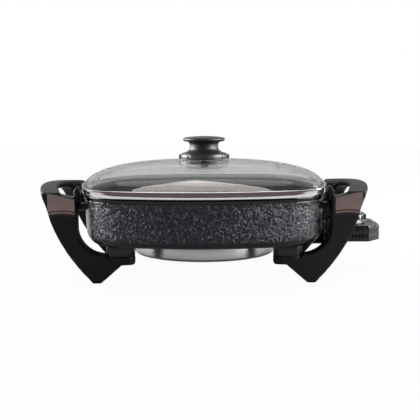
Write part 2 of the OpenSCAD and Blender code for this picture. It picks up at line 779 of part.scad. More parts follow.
module thermostat_frame() {
    start = clip_x + clip_t;
    color("silver") difference() {
        translate([start, blade_y - 6, frame_z]) cube([frame_posts[1] + 5 - start, 12, frame_t]);
        frame_screw_places() translate([0, 0, -frame_t - 1]) cylinder(d = 2.7, h = frame_t + 2);
    }
}

module frame_screws() {
    color("silver") frame_screw_places() {
        cylinder(d = 5, h = 1.2);
        translate([0, 0, -frame_screw_len]) cylinder(d = 2.4, h = frame_screw_len);
    }
}

// The block that holds the blade and the spring apart, each in its own slot.
module ceramic_stack() {
    size = [8, 10, 6];
    base_z = frame_z + frame_t;
    color("ivory") translate([frame_posts[0] + 4, blade_y - size[1] / 2, 0]) difference() {
        translate([0, 0, base_z]) cube(size);
        translate([-1, 1, blade_z - 0.05]) cube([size[0] + 2, size[1] - 2, blade_t + 0.1]);
        translate([-1, 1, spring_z - 0.05]) cube([size[0] + 2, size[1] - 2, spring_t + 0.1]);
    }
}

module bimetal_blade() {
    color("peru") translate([tail_x, blade_y - blade_w / 2, blade_z]) cube([33, blade_w, blade_t]);
}

module contact_spring() {
    color("goldenrod") translate([tail_x, blade_y - blade_w / 2, spring_z]) cube([31, blade_w, spring_t]);
}

// A point on the blade and one under the spring, a hair apart.
module contact_points() {
    point_h = (spring_z - blade_z - blade_t - 0.1) / 2;
    color("lightgray") translate([frame_posts[0] + 26, blade_y, 0]) {
        translate([0, 0, blade_z + blade_t]) cylinder(d = 4, h = point_h);
        translate([0, 0, spring_z - point_h]) cylinder(d = 4, h = point_h);
    }
}

// A round wire through its points, with round corners.
module wire(points, d) {
    for (i = [0:len(points) - 2]) let (p = points[i], v = points[i + 1] - p) translate(p)
        rotate([0, acos(v[2] / norm(v)), atan2(v[1], v[0])]) cylinder(d = d, h = norm(v));
    for (i = [1:len(points) - 2]) translate(points[i]) sphere(d = d);
}

// From the spring's tail to the sleeve on the near side.
module link_wire() {
    x = tail_x - 2.5;
    y = terminal_y - pin_pitch;
    z = spring_z + spring_t / 2;
    color("goldenrod") wire([[sleeve_x + sleeve_len, y, terminal_z], [x, y, terminal_z], [x, y, z],
        [x, blade_y, z], [tail_x, blade_y, z]], 1.6);
}

// Clip that carries the heat from the probe's end to the blades' frame.
module probe_clip() {
    color("silver") difference() {
        translate([clip_x, terminal_y - 4.8, case_z + case_t + 0.1])
            cube([clip_t, blade_y - terminal_y + 9.6, 8]);
        along_x(clip_x - 1, terminal_y, terminal_z) cylinder(d = probe_d + 0.1, h = clip_t + 2);
    }
}

module signal_lamp() {
    color("orange") translate([lamp_x, dial_y, case_top_z - case_t - 5]) {
        cylinder(d = 4.6, h = 3.4);
        translate([0, 0, 3.4]) sphere(d = 4.6);
    }
}

module lamp_lens() {
    color("darkred", 0.8) translate([lamp_x, dial_y, case_top_z - case_t]) rotate_extrude()
        polygon([[2.4, -1], [3, -1], [3, case_t], [2.4, case_t + 0.7], [0, case_t + 1], [0, 1.2],
            [2.4, 0.8]]);
}

module case_screws() {
    color("silver") for (p = case_posts) translate([p[0], p[1], case_z + 0.4]) {
        difference() {
            cylinder(d = 5.4, h = 1.6);
            translate([0, 0, -1]) cylinder(d = 2.4, h = 1.8, $fn = 6);
        }
        cylinder(d = 2.5, h = lower_h + 5);
    }
}

module at_dial() translate([dial_x, dial_y, 0]) children();

module dial_bushing() {
    color("goldenrod") at_dial() difference() {
        union() {
            translate([0, 0, case_top_z - case_t - 2]) cylinder(d = 15, h = 1.9);
            translate([0, 0, case_top_z - case_t - 1]) cylinder(d = bushing_d, h = case_t + 5.1);
        }
        cylinder(d = shaft_d + 0.1, h = 100);
    }
}

module dial_shaft() {
    foot_z = spring_z + spring_t + 1.6;
    color("silver") at_dial() {
        translate([0, 0, foot_z]) cylinder(d = shaft_d, h = dial_z + dial_h - 3 - foot_z);
        translate([0, 0, foot_z - 1.2]) cylinder(d = 3, h = 1.3);
    }
}

module control_dial() {
    r = dial_d / 2;
    color("#1b1b1d") at_dial() translate([0, 0, dial_z]) difference() {
        union() {
            rotate_extrude() polygon([[0, 0], [r - 0.8, 0], [r - 0.8, 1], [r - 1.6, dial_h - 2],
                [r - 3.2, dial_h - 0.6], [0, dial_h - 0.6]]);
            for (a = [0:15:345]) rotate(a) translate([r - 2, -0.9, 0]) cube([2, 1.8, dial_h - 2.5]);
            translate([6 - r, -3, dial_h - 1]) soft_block([dial_d - 12, 6, 2.6], 2.9);
        }
        translate([0, 0, -1]) cylinder(d = shaft_d + 0.02, h = dial_h - 2);
        pointer_slot(0.1);
    }
}

module pointer_slot(gap) {
    translate([dial_d / 2 - 16 - gap, -0.6 - gap, dial_h + 0.8 - gap]) cube([8 + 2 * gap, 1.2 + 2 * gap, 2]);
}

module dial_pointer() {
    color("white") at_dial() translate([0, 0, dial_z]) intersection() {
        pointer_slot(0);
        cylinder(d = dial_d, h = dial_h + 1.7);
    }
}

module in_place() translate([middle_shift, 0, 0]) children();

in_place() pan_body();
in_place() heating_plate();
in_place() heating_element();
in_place() element_beads();
in_place() terminal_pins();
in_place() terminal_guard();
in_place() guard_screws();
in_place() left_handle();
in_place() right_handle();
in_place() leg_spacers();
in_place() leg_screws();
in_place() leg_washers();
in_place() handle_screws();
in_place() glass_lid();
in_place() lid_band();
in_place() steam_eyelet();
in_place() knob_seal();
in_place() lower_seal();
in_place() clamp_washer();
in_place() knob_screw();
in_place() knob_collar();
in_place() knob_insert();
in_place() lid_knob();
in_place() steam_ring();
in_place() lower_case();
in_place() upper_case();
in_place() sensor_probe();
in_place() contact_sleeves();
in_place() thermostat_frame();
in_place() frame_screws();
in_place() ceramic_stack();
in_place() bimetal_blade();
in_place() contact_spring();
in_place() contact_points();
in_place() link_wire();
in_place() probe_clip();
in_place() signal_lamp();
in_place() lamp_lens();
in_place() cord_gland();
in_place() case_screws();
in_place() dial_bushing();
in_place() dial_shaft();
in_place() control_dial();
in_place() dial_pointer();
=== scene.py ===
import math

import bmesh
import bpy
from mathutils import Matrix, Vector


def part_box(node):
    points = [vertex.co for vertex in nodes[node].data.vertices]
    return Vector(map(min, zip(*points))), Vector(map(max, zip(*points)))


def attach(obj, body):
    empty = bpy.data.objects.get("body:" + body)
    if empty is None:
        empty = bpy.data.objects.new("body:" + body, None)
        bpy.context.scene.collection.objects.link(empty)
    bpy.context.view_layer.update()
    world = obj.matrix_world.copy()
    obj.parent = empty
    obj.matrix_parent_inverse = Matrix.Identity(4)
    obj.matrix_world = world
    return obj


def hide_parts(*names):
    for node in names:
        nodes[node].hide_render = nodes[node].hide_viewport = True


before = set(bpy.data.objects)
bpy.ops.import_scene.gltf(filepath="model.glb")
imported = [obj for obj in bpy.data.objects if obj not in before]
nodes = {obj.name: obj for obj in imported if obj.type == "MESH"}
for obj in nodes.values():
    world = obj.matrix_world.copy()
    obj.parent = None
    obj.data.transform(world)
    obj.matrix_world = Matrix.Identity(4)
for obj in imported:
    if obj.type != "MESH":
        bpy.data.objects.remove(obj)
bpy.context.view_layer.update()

MM = 0.001

# ---------------------------------------------------------------- sizes, read from the frame or named
band_low, band_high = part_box("lid_band")
pan_low, pan_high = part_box("pan_body")
MIDDLE_X = (band_low.x + band_high.x) / 2
LID_HALF = (band_high.x - band_low.x) / 2
SIDE_BOW_R = 330 * MM
CORNER_R = 60 * MM
SIDE_C = LID_HALF - SIDE_BOW_R
CORNER_C = (SIDE_C + math.sqrt(2 * (SIDE_BOW_R - CORNER_R) ** 2 - SIDE_C ** 2)) / 2
SIDE_TURN = math.atan2(CORNER_C, CORNER_C - SIDE_C)
SIDE_STEPS = 20
CORNER_STEPS = 20

BASE_Z = pan_low.z
RIM_Z = pan_high.z
WALL_INSET = 3.9 * MM
WALL_DRAFT = 1.2 * MM
WALL_T = 5 * MM
FLOOR_T = 5 * MM
BOTTOM_ROUND = 12 * MM
BEAD_H = 4.5 * MM
BEAD_OUT = 0.9 * MM

# The cast ears that the handles are screwed to, from the middle of the pan
EAR_IN, EAR_OUT = 142 * MM, 165 * MM
EAR_Y = 61 * MM
EAR_HALF = 8 * MM
EAR_H = 8 * MM
EAR_Z = RIM_Z - 21 * MM
EAR_EDGE = 1.6 * MM

BAND_T = 2.6 * MM
LIP_T = 1.2 * MM
LIP_DROP = 3 * MM
BAND_TOP_Z = band_high.z
GLASS_T = 4 * MM
LID_GAP = 0.3 * MM
GLASS_INSET = BAND_T + LID_GAP
GLASS_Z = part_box("glass_lid")[0].z
DOME_Z = GLASS_Z + 3.2 * MM
DOME_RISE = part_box("glass_lid")[1].z - DOME_Z
DOME_POWER = 2.9

# The sheet of light over the object, which the glass mirrors
CARD_X = MIDDLE_X - 0.05
CARD_Z = 1.2
CARD_FRONT, CARD_BACK = -2.1, 0.56
CARD_WIDTH = 2.7
CARD_TIP = 0.0283
CARD_WATTS = 330
CARD_TINT = (1.0, 0.95, 0.89)

# The two side lamps, with their places from the middle of the pan
SIDE_LAMPS = {"left_softbox": (-1.83, 0.53, 0.66), "right_softbox": (1.93, -0.4, 0.66)}
SIDE_WIDTH, SIDE_HEIGHT = 1.7, 1.1
SIDE_WATTS = 190
SIDE_TINT = (0.97, 0.96, 1.0)

# The camera: its eye is named from the middle of the pan, as solved from the photograph.
PHOTO_SIDE = 420
FOCAL_PIXELS = 750
SENSOR_MM = 36
EYE = Vector((7.3, -972.7, 196.4)) * MM
EYE_PITCH = 7.0
EYE_ROLL = -0.3


# ---------------------------------------------------------------- camera, floor and light
def set_camera():
    bpy.ops.object.camera_add(location=EYE + Vector((MIDDLE_X, 0, 0)))
    camera = bpy.context.object
    pitch = Matrix.Rotation(math.radians(90 - EYE_PITCH), 4, "X")
    roll = Matrix.Rotation(math.radians(EYE_ROLL), 4, "Z")
    camera.rotation_euler = (pitch @ roll).to_euler()
    camera.data.sensor_width = SENSOR_MM
    camera.data.lens = FOCAL_PIXELS / PHOTO_SIDE * SENSOR_MM
    bpy.context.scene.camera = camera


def softbox(name, place, target, width, height, watts, tint=(1, 1, 1)):
    """A rectangular lamp that faces a point."""
    bpy.ops.object.light_add(type="AREA", location=place)
    lamp = bpy.context.object
    lamp.name = name
    lamp.rotation_euler = (Vector(target) - Vector(place)).to_track_quat("-Z", "Y").to_euler()
    lamp.data.shape = "RECTANGLE"
    lamp.data.size = width
    lamp.data.size_y = height
    lamp.data.energy = watts
    lamp.data.color = tint
    lamp.visible_camera = False
    lamp.visible_transmission = False
    return lamp


class Signal:
    """A node's output, with the operators that the finishes below use."""

    def __init__(self, finish, socket):
        self.finish = finish
        self.socket = socket

    def math(self, operation, *values):
        return self.finish.node("ShaderNodeMath", {"operation": operation}, values)

    def __add__(self, other):
        return self.math("ADD", self, other)

    def __sub__(self, other):
        return self.math("SUBTRACT", self, other)

    def __rsub__(self, other):
        return self.math("SUBTRACT", other, self)

    def __mul__(self, other):
        return self.math("MULTIPLY", self, other)

    def __truediv__(self, other):
        return self.math("DIVIDE", self, other)

    def __pow__(self, other):
        return self.math("POWER", self, other)

    def __gt__(self, other):
        return self.math("GREATER_THAN", self, other)

    __radd__ = __add__
    __rmul__ = __mul__

    def size(self):
        return self.math("ABSOLUTE", self)

    def rise(self, low, high):
        """0 at low, 1 at high, smooth between."""
        return self.finish.node("ShaderNodeMapRange", {"interpolation_type": "SMOOTHSTEP"},
                                {"Value": self, "From Min": low, "From Max": high})


class Finish:
    """A node tree, with one method that adds any node to it."""

    def __init__(self, owner):
        owner.use_nodes = True
        self.owner = owner
        self.tree = owner.node_tree
        self.tree.nodes.clear()

    def node(self, kind, settings=None, values=(), output=0):
        made = self.tree.nodes.new(kind)
        for key, value in (settings or {}).items():
            setattr(made, key, value)
        pairs = values.items() if isinstance(values, dict) else enumerate(values)
        for key, value in pairs:
            if isinstance(value, Signal):
                self.tree.links.new(value.socket, made.inputs[key])
            else:
                made.inputs[key].default_value = value
        return Signal(self, made.outputs[output]) if made.outputs else None

    def mixed(self, factor, low, high):
        """A colour between two colours, which are inputs 6 and 7 of the mix node, with output 2."""
        return self.node("ShaderNodeMix", {"data_type": "RGBA"}, {"Factor": factor, 6: low, 7: high}, 2)

    def place(self):
        """Object coordinates, which are metres in the row frame."""
        return self.node("ShaderNodeTexCoord", output=3)

    def ray(self, kind):
        """1 for rays of one kind and 0 for all others."""
        return self.node("ShaderNodeLightPath", output=kind)

    def parts(self, vector):
        return [self.node("ShaderNodeSeparateXYZ", values=[vector], output=k) for k in range(3)]

    def stretched(self, vector, scale, location=(0, 0, 0)):
        return self.node("ShaderNodeMapping", values={"Vector": vector, "Scale": scale, "Location": location})

    def noise(self, vector, scale, detail):
        return self.node("ShaderNodeTexNoise", values={"Vector": vector, "Scale": scale, "Detail": detail})

    def lines(self, along, scale, detail):
        """Noise along one direction only, as turning or rolling leaves it."""
        return self.node("ShaderNodeTexNoise", {"noise_dimensions": "1D"},
                         {"W": along, "Scale": scale, "Detail": detail})

    def bump(self, height, distance, strength=1.0):
        values = {"Height": height, "Distance": distance, "Strength": strength}
        return self.node("ShaderNodeBump", values=values)

    def skin(self, **values):
        """The principled shader on the output. Names with _ stand for sockets with spaces."""
        named = {key.replace("_", " "): value for key, value in values.items()}
        shader = self.node("ShaderNodeBsdfPrincipled", values=named)
        self.node("ShaderNodeOutputMaterial", values=[shader])
        return self.owner


def new_finish(name):
    return Finish(bpy.data.materials.new(name))


def rgb(red, green, blue):
    return (red, green, blue, 1.0)


WHITE = rgb(1, 1, 1)

# Outputs of the light path node and of the geometry node
CAMERA_RAY, GLOSSY_RAY, TRANSMISSION_RAY = 0, 3, 6
POSITION, NORMAL = 0, 1


def set_world():
    """White for the eye and through glass. What metal mirrors is pale above and darker in front."""
    world = bpy.data.worlds.new("studio")
    bpy.context.scene.world = world
    sky = Finish(world)
    direction = sky.node("ShaderNodeTexCoord", output=0)
    y, z = sky.parts(direction)[1:]
    front = (0 - y).rise(-0.40, -0.10)
    around = sky.mixed(z.rise(0.15, 0.5), rgb(0.42, 0.41, 0.46), rgb(0.95, 0.95, 0.97))
    room = sky.mixed(front, around, rgb(0.13, 0.098, 0.095))
    eye, glossy, through = [sky.ray(kind) for kind in (CAMERA_RAY, GLOSSY_RAY, TRANSMISSION_RAY)]
    soft = sky.mixed(glossy, rgb(0.66, 0.66, 0.67), room)
    seen = sky.mixed((eye + through) > 0.5, soft, WHITE)
    shader = sky.node("ShaderNodeBackground", values=[seen, 1.0])
    sky.node("ShaderNodeOutputWorld", values=[shader])


def white_floor():
    """The table. It glows for the eye, so that it is as white as the background, and keeps a shadow."""
    finish = new_finish("white_table")
    diffuse = finish.node("ShaderNodeBsdfDiffuse", values=[rgb(0.92, 0.92, 0.93)])
    glow = finish.node("ShaderNodeEmission", values=[WHITE, 1.0])
    eye = finish.ray(CAMERA_RAY)
    place = finish.place()
    grain = finish.noise(place, 900, 1.0)
    share = eye * (0.955 + grain * 0.01)
    shader = finish.node("ShaderNodeMixShader", values=[share, diffuse, glow])
    finish.node("ShaderNodeOutputMaterial", values=[shader])
    return finish.owner


def set_floor():
    side, front = 4.5, -0.5
    just_under_the_feet = -0.2 * MM
    bpy.ops.mesh.primitive_plane_add(size=1, location=(0, front + side / 2, just_under_the_feet))
    floor = bpy.context.object
    floor.name = "table_top"
    floor.scale = (side, side, 1)
    bpy.ops.object.transform_apply(location=True, rotation=False, scale=True)
    floor.data.materials.append(white_floor())


def sheen_only(lamp):
    """Keeps a lamp to reflections, so that it doesn't bleach the table."""
    lamp.visible_diffuse = False
    return lamp


def light_card():
    """A pale sheet over the object, as the photographed glass mirrors it: wide in front and narrow behind."""
    middle_y = (CARD_FRONT + CARD_BACK) / 2
    depth = CARD_BACK - CARD_FRONT
    above, below = (CARD_X, middle_y, CARD_Z), (CARD_X, middle_y, 0)
    card = softbox("light_card", above, below, CARD_WIDTH, depth, CARD_WATTS, CARD_TINT)
    beam = Finish(card.data)
    x, y = beam.parts(beam.node("ShaderNodeNewGeometry", output=POSITION))[:2]
    share = (CARD_BACK - y) * (1 / depth)
    half_width = share * (CARD_WIDTH / 2) + share ** 0.5 * CARD_TIP
    inside = (half_width - (x - CARD_X).size()) > 0
    glow = beam.node("ShaderNodeEmission", values=[WHITE, inside])
    beam.node("ShaderNodeOutputLight", values=[glow])
    return sheen_only(card)


def set_lamps():
    aim = (MIDDLE_X, 0, 0.08)
    for name, (x, y, z) in SIDE_LAMPS.items():
        sheen_only(softbox(name, (MIDDLE_X + x, y, z), aim, SIDE_WIDTH, SIDE_HEIGHT, SIDE_WATTS, SIDE_TINT))
    softbox("right_strip", (1.1, 0.75, 0.3), aim, width=0.14, height=0.9, watts=4)
    softbox("top_softbox", (0.0, 0.35, 1.5), aim, width=1.3, height=1.0, watts=9)
    light_card()


def share_out_the_lamps():
    """The sheet shows in the glass alone, and the side lamps show in neither the glass nor the band."""
    mirrored = bpy.data.collections.new("mirrors_the_card")
    mirrored.objects.link(bpy.data.objects["lid_dome"])
    bpy.data.objects["light_card"].light_linking.receiver_collection = mirrored
    sparing = bpy.data.collections.new("spared_by_the_sides")
    for name in ("lid_dome", "lid_steel_band"):
        sparing.objects.link(bpy.data.objects[name])
    for link in sparing.collection_objects:
        link.light_linking.link_state = "EXCLUDE"
    for name in SIDE_LAMPS:
        bpy.data.objects[name].light_linking.receiver_collection = sparing


# ---------------------------------------------------------------- modelling helpers
def deselect():
    if bpy.context.object and bpy.context.object.mode != "OBJECT":
        bpy.ops.object.mode_set(mode="OBJECT")
    bpy.ops.object.select_all(action="DESELECT")


def take(piece):
    """Selects one piece alone."""
    deselect()
    piece.select_set(True)
    bpy.context.view_layer.objects.active = piece


def turned(x, y, angle):
    return (x * math.cos(angle) - y * math.sin(angle), x * math.sin(angle) + y * math.cos(angle))


def outline(inset):
    """Points round the bowed square plan, drawn in from the lid's edge."""
    quarter = []
    for i in range(SIDE_STEPS):
        t = SIDE_TURN * (2 * i / SIDE_STEPS - 1)
        r = SIDE_BOW_R - inset
        quarter.append((SIDE_C + r * math.cos(t), r * math.sin(t)))
    for i in range(CORNER_STEPS):
        t = SIDE_TURN + (math.pi / 2 - 2 * SIDE_TURN) * i / CORNER_STEPS
        r = CORNER_R - inset
        quarter.append((CORNER_C + r * math.cos(t), CORNER_C + r * math.sin(t)))
    return [turned(x, y, math.pi / 2 * k) for k in range(4) for x, y in quarter]


def plan_ring(inset, z):
    return [(MIDDLE_X + x, y, z) for x, y in outline(inset)]


def round_ring(centre, radius, z, sides):
    return [(centre[0] + radius * math.cos(2 * math.pi * k / sides),
             centre[1] + radius * math.sin(2 * math.pi * k / sides), z) for k in range(sides)]


def arc(a, z, r, start, end, steps):
    """Points on a round stretch of a profile, about a centre, in degrees."""
    angles = [math.radians(start + (end - start) * i / steps) for i in range(steps + 1)]
    return [(a + r * math.cos(t), z + r * math.sin(t)) for t in angles]


def drawn(a, b, c, steps):
    """Points on a curve from a to c that is drawn towards b."""
    points = []
    for i in range(steps + 1):
        t = i / steps
        points.append(tuple((1 - t) ** 2 * p + 2 * t * (1 - t) * q + t * t * r for p, q, r in zip(a, b, c)))
    return points


def set_ring(piece, ring, former):
    """Moves the selected ring of points onto its outline. former lists where they were, in its order."""
    mesh = bmesh.from_edit_mesh(piece.data)
    picked = [v for v in mesh.verts if v.select]
    if former:
        found = {tuple(v.co): v for v in picked}
        picked = [found[place] for place in former]
    for vertex, point in zip(picked, ring):
        vertex.co = point
    bmesh.update_edit_mesh(piece.data)
    return [tuple(v.co) for v in picked]


def ring_piece(name, rings, joined=False):
    """A circle that is extruded ring by ring. Its ends are filled, or joined to each other."""
    deselect()
    bpy.ops.mesh.primitive_circle_add(vertices=len(rings[0]), radius=0.1)
    piece = bpy.context.object
    piece.name = name
    bpy.ops.object.transform_apply(location=True, rotation=True, scale=True)
    bpy.ops.object.mode_set(mode="EDIT")
    bpy.ops.mesh.select_mode(type="VERT")
    former = set_ring(piece, rings[0], None)
    for ring in rings[1:]:
        bpy.ops.mesh.extrude_region()
        former = set_ring(piece, ring, former)
    bpy.ops.mesh.select_all(action="DESELECT")
    bpy.ops.mesh.select_non_manifold(extend=False, use_wire=False, use_boundary=True, use_multi_face=False,
                                     use_non_contiguous=False, use_verts=False)
    if joined:
        bpy.ops.mesh.bridge_edge_loops()
    else:
        bpy.ops.mesh.fill_holes(sides=0)
    bpy.ops.mesh.select_all(action="SELECT")
    bpy.ops.mesh.remove_doubles(threshold=1e-7)
    bpy.ops.mesh.normals_make_consistent(inside=False)
    bpy.ops.object.mode_set(mode="OBJECT")
    return piece


def smoothed(piece, degrees):
    """Smooth shading over every edge that turns less than this."""
    take(piece)
    bpy.ops.object.shade_smooth_by_angle(angle=math.radians(degrees))
    return piece


def soft_block(name, low, high, edge):
    """A cube with all its edges rounded."""
    deselect()
    low, high = Vector(low), Vector(high)
    bpy.ops.mesh.primitive_cube_add(size=1, location=(low + high) / 2)
    block = bpy.context.object
    block.name = name
    block.scale = high - low
    bpy.ops.object.transform_apply(location=True, rotation=False, scale=True)
    bpy.ops.object.mode_set(mode="EDIT")
    bpy.ops.mesh.select_all(action="SELECT")
    bpy.ops.mesh.bevel(offset=edge, segments=3, affect="EDGES")
    bpy.ops.object.mode_set(mode="OBJECT")
    return block


def merged(piece, others):
    """Welds other pieces into one with a union."""
    take(others[0])
    for other in others[1:]:
        other.select_set(True)
    bpy.ops.object.join()
    tool = bpy.context.object
    take(piece)
    weld = piece.modifiers.new("weld", "BOOLEAN")
    weld.operation = "UNION"
    weld.solver = "EXACT"
    weld.object = tool
    bpy.ops.object.modifier_apply(modifier="weld")
    bpy.data.objects.remove(tool)
    return piece


def bare_copy(node, name):
    """A merged copy of a CAD node's mesh, as a new piece."""
    deselect()
    piece = bpy.data.objects.new(name, nodes[node].data.copy())
    bpy.context.scene.collection.objects.link(piece)
    piece.data.materials.clear()
    take(piece)
    bpy.ops.mesh.customdata_custom_splitnormals_clear()
    bpy.ops.object.mode_set(mode="EDIT")
    bpy.ops.mesh.select_all(action="SELECT")
    bpy.ops.mesh.remove_doubles(threshold=1e-6)
    bpy.ops.object.mode_set(mode="OBJECT")
    return piece


def bevelled(node, name, width, segments):
    """A copy of a CAD node with its sharp edges rounded."""
    sharp = 35
    piece = bare_copy(node, name)
    bpy.ops.object.mode_set(mode="EDIT")
    bpy.ops.mesh.select_all(action="SELECT")
    bpy.ops.mesh.dissolve_limited(angle_limit=math.radians(0.5))
    bpy.ops.object.mode_set(mode="OBJECT")
    edge = piece.modifiers.new("edge", "BEVEL")
    edge.width = width
    edge.segments = segments
    edge.limit_method = "ANGLE"
    edge.angle_limit = math.radians(sharp)
    edge.use_clamp_overlap = True
    bpy.ops.object.modifier_apply(modifier="edge")
    return smoothed(piece, sharp)


def remoulded(node, name, grain, rounds):
    """A copy of a CAD node as one even skin with all its edges and corners blended, as a moulding has."""
    piece = bare_copy(node, name)
    skin = piece.modifiers.new("skin", "REMESH")
    skin.mode = "VOXEL"
    skin.voxel_size = grain
    bpy.ops.object.modifier_apply(modifier="skin")
    soften = piece.modifiers.new("soften", "SMOOTH")
    soften.factor = 0.5
    soften.iterations = rounds
    bpy.ops.object.modifier_apply(modifier="soften")
    bpy.ops.object.shade_smooth()
    return piece


def dress(piece, finish, body, slot, *replaced):
    """Gives a new piece its finish and body, and hides the nodes that it stands for. The material slot is not
    used.
    """
    if not piece.data.materials:
        piece.data.materials.append(finish)
    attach(piece, body)
    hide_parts(*replaced)
    return piece


def paint(finish, *names):
    """Gives CAD nodes that stay as they are their finish."""
    for name in names:
        node = nodes[name]
        node.data.materials.clear()
        node.data.materials.append(finish)


# ---------------------------------------------------------------- finishes
HAMMER_DEPTH = 0.62 * MM


def hammered_enamel():
    """Cast wall with a hammered skin, smooth on the bead and round the foot."""
    f = new_finish("hammered_enamel")
    place = f.place()
    z = f.parts(place)[2]
    hammered = z.rise(BASE_Z + 4 * MM, BASE_Z + 9 * MM) * (1 - z.rise(RIM_Z - 6.5 * MM, RIM_Z - 5 * MM))
    swirl = f.node("ShaderNodeTexNoise", values={"Vector": place, "Scale": 210.0}, output=1)
    pushed = f.node("ShaderNodeVectorMath", {"operation": "SCALE"}, {0: swirl, "Scale": 5.5 * MM})
    moved = f.node("ShaderNodeVectorMath", {"operation": "ADD"}, [place, pushed])
    dents = f.node("ShaderNodeTexVoronoi", {"feature": "SMOOTH_F1"},
                   {"Vector": moved, "Scale": 400.0, "Smoothness": 0.5})
    worms = (f.noise(moved, 430, 1.0) - 0.5).size().rise(0.0, 0.16)
    swell = f.noise(place, 120, 2.0)
    fine = f.noise(place, 1500, 3.0)
    relief = dents * 0.55 + worms * 0.45 + swell * 0.5 + fine * 0.08
    rough_skin = f.bump(relief * hammered, HAMMER_DEPTH, 1.0)
    # Painted light and shade in the base colour: darker in the dents and lighter, violet grey, on the ridges
    # of the hammered relief.
    colour = f.mixed(hammered * relief.rise(0.35, 0.95), rgb(0.002, 0.002, 0.003), rgb(0.014, 0.013, 0.020))
    return f.skin(Base_Color=colour, Roughness=0.09 + swell * 0.08, Normal=rough_skin, Specular_IOR_Level=0.3)


def nonstick_coat():
    """Sprayed coating of the cooking surface: satin, with very fine specks."""
    f = new_finish("nonstick_coat")
    place = f.place()
    specks = f.noise(place, 2600, 2.0)
    haze = f.noise(place, 30, 3.0)
    colour = f.mixed(specks.rise(0.58, 0.7), rgb(0.022, 0.025, 0.026), rgb(0.05, 0.055, 0.056))
    return f.skin(Base_Color=colour, Roughness=0.34 + haze * 0.12, Normal=f.bump(specks, 0.08 * MM, 0.5))


def turned_aluminium():
    """Cast plate, turned on a lathe: fine rings round the rim and on the underside."""
    f = new_finish("turned_aluminium")
    place = f.place()
    z = f.parts(place)[2]
    radius = f.node("ShaderNodeVectorMath", {"operation": "LENGTH"},
                    [f.stretched(place, (1, 1, 0), (-MIDDLE_X, 0, 0))], 1)
    height = f.lines(z, 2600.0, 3.0)
    rings = f.lines(radius, 1500.0, 3.0)
    marks = height * 0.5 + rings * 0.5
    blotch = f.noise(place, 25, 3.0)
    colour = f.mixed(marks * 0.5 + blotch * 0.5, rgb(0.36, 0.35, 0.34), rgb(0.60, 0.585, 0.57))
    return f.skin(Base_Color=colour, Metallic=1.0, Roughness=0.16 + marks * 0.16,
                  Normal=f.bump(marks, 0.12 * MM, 0.6))


def steel(name, colour, roughness, grain=400.0):
    """Plain steel with faint grain and slightly uneven gloss."""
    f = new_finish(name)
    place = f.place()
    scratches = f.noise(place, grain, 3.0)
    haze = f.noise(place, 40, 2.0)
    tone = f.mixed(haze, tuple(0.88 * c for c in colour[:3]) + (1.0,), colour)
    return f.skin(Base_Color=tone, Metallic=1.0, Roughness=roughness + scratches * 0.08 + haze * 0.03,
                  Normal=f.bump(scratches, 0.03 * MM, 0.4))


def moulded(name, colour, roughness, pores=0.05, coat=0.0, light=1.8, shine=0.4):
    """Moulded plastic: fine pores, flow marks and an uneven gloss."""
    f = new_finish(name)
    place = f.place()
    grain = f.noise(place, 1500, 3.0)
    flow = f.noise(f.stretched(place, (1, 1, 0.4)), 22, 3.0)
    lighter = tuple(min(1.0, c * light) for c in colour[:3]) + (1.0,)
    tone = f.mixed(flow * 0.6, colour, lighter)
    return f.skin(Base_Color=tone, Roughness=roughness + flow * 0.08 + grain * 0.04,
                  Normal=f.bump(grain, pores * MM, 0.5), Coat_Weight=coat, Coat_Roughness=0.1,
                  Specular_IOR_Level=shine)


# The flat faces at the top of each leg, where a reflection is painted into the colour, as they lie on the
# photographed one.
FLAT_IN = 152.9 * MM
FLAT_OUT = 185.2 * MM
FLAT_OUT_RIGHT = 188.3 * MM
FLAT_MIDDLE = 168 * MM
FLAT_LOW_Z = 89.3 * MM
FLAT_BOW = 2.0 * MM


